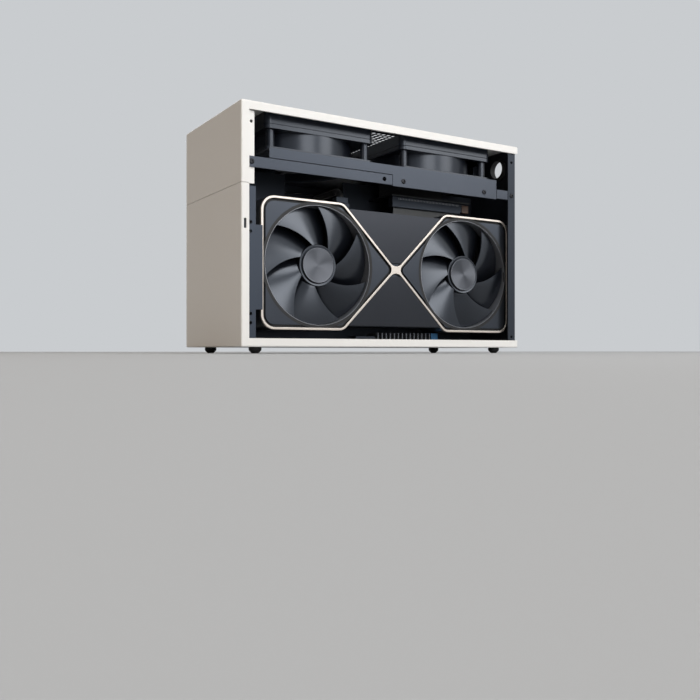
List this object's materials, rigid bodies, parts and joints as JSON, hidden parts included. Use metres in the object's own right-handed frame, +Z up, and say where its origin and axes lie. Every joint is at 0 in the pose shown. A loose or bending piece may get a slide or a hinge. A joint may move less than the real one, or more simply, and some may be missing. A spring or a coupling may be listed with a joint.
{
  "type": "mini-itx pc case",
  "caption": "Compact white computer enclosure on rubber feet, one side open: roof fans on a tray, a two-slot graphics card, and board, cooler and power unit behind a spine.",
  "frame": {"origin": "on the floor under the feet, at the middle of the footprint", "axes": "+X from the front to the back wall, +Y from the open side to the closed side panel, +Z up"},
  "size_m": [0.334, 0.142, 0.23],
  "materials": {
    "white_paint": "satin powder coat",
    "grey_steel": "satin dark grey coat",
    "black_steel": "fine textured black coat",
    "screw_steel": "blackened",
    "rubber": "matt",
    "button_metal": "turned",
    "moulded_black": "moulded",
    "fan_grey": "moulded satin",
    "card_gunmetal": "satin gunmetal",
    "card_silver": "satin anodised",
    "wheel_grey": "satin moulded",
    "spun_cap": "spun, dark anodised",
    "fin_black": "black anodised",
    "fin_metal": "plain",
    "board_black": "solder mask",
    "plated_steel": "nickel plated",
    "memory_metal": "anodised",
    "standoff_brass": "plain",
    "lead_black": "sleeved",
    "drive_metal": "anodised"
  },
  "bodies": {
    "case": {"top_cover": "white_paint", "base_cover": "white_paint", "roof_vent": "white_paint", "floor_vent": "white_paint", "front_rail_open": "grey_steel", "rear_rail_open": "grey_steel", "front_rail_board": "grey_steel", "rear_rail_board": "grey_steel", "fan_tray": "grey_steel", "rear_panel": "black_steel", "spine_plate": "black_steel", "front_post_open": "black_steel", "front_post_board": "black_steel", "card_rest": "black_steel", "power_unit": "black_steel", "power_guard": "black_steel", "rail_screws": "screw_steel", "rubber_feet": "rubber", "port_bushing": "rubber", "button_barrel": "button_metal", "power_inlet": "moulded_black", "side_port": "moulded_black", "riser_slot": "moulded_black", "riser_plug": "moulded_black", "cooler_fan_frame": "moulded_black", "connector_cover": "moulded_black", "fan_frame_front": "fan_grey", "fan_frame_rear": "fan_grey", "fan_spacers": "fan_grey", "card_shroud": "card_gunmetal", "card_backplate": "card_gunmetal", "card_trim": "card_silver", "card_fins": "fin_black", "cooler_fins": "fin_metal", "cooler_base": "fin_metal", "main_board": "board_black", "card_board": "board_black", "riser_board": "board_black", "drive_board": "board_black", "card_bracket": "plated_steel", "rear_connectors": "plated_steel", "memory_modules": "memory_metal", "board_standoffs": "standoff_brass", "mains_lead": "lead_black", "card_lead": "lead_black", "board_lead": "lead_black", "riser_ribbon": "lead_black", "drive_cooler": "drive_metal"},
    "front_fan": {"fan_wheel_front": "fan_grey"},
    "rear_fan": {"fan_wheel_rear": "fan_grey"},
    "card_fan_front": {"card_wheel_front": "wheel_grey", "card_cap_front": "spun_cap"},
    "card_fan_rear": {"card_wheel_rear": "wheel_grey", "card_cap_rear": "spun_cap"},
    "cooler_fan": {"cooler_wheel": "moulded_black"},
    "power_fan": {"power_wheel": "moulded_black"},
    "button": {"button_cap": "button_metal"},
    "panel": {"side_panel": "white_paint", "panel_studs": "screw_steel"}
  },
  "joints": [
    {"name": "front_fan_spin", "type": "hinge", "parent": "case", "child": "front_fan", "pos_m": [-0.077, 0, 0.203], "axis": [0, 0, 1], "continuous": true},
    {"name": "rear_fan_spin", "type": "hinge", "parent": "case", "child": "rear_fan", "pos_m": [0.077, 0, 0.203], "axis": [0, 0, 1], "continuous": true},
    {"name": "card_fan_front_spin", "type": "hinge", "parent": "case", "child": "card_fan_front", "pos_m": [-0.08099, -0.052, 0.08505], "axis": [0, 1, 0], "continuous": true},
    {"name": "card_fan_rear_spin", "type": "hinge", "parent": "case", "child": "card_fan_rear", "pos_m": [0.09899, -0.052, 0.08505], "axis": [0, 1, 0], "continuous": true},
    {"name": "cooler_fan_spin", "type": "hinge", "parent": "case", "child": "cooler_fan", "pos_m": [0.07825, 0.06, 0.109], "axis": [0, 1, 0], "continuous": true},
    {"name": "power_fan_spin", "type": "hinge", "parent": "case", "child": "power_fan", "pos_m": [-0.087, 0.06, 0.075], "axis": [0, 1, 0], "continuous": true},
    {"name": "button_press", "type": "slide", "parent": "case", "child": "button", "axis": [-1, 0, 0], "range_m": [0, 0.0016], "stiffness_N_per_m": 900, "springref_m": -0.0012},
    {"name": "panel_pull", "type": "slide", "parent": "case", "child": "panel", "axis": [0, 1, 0], "range_m": [0, 0.12]}
  ]
}
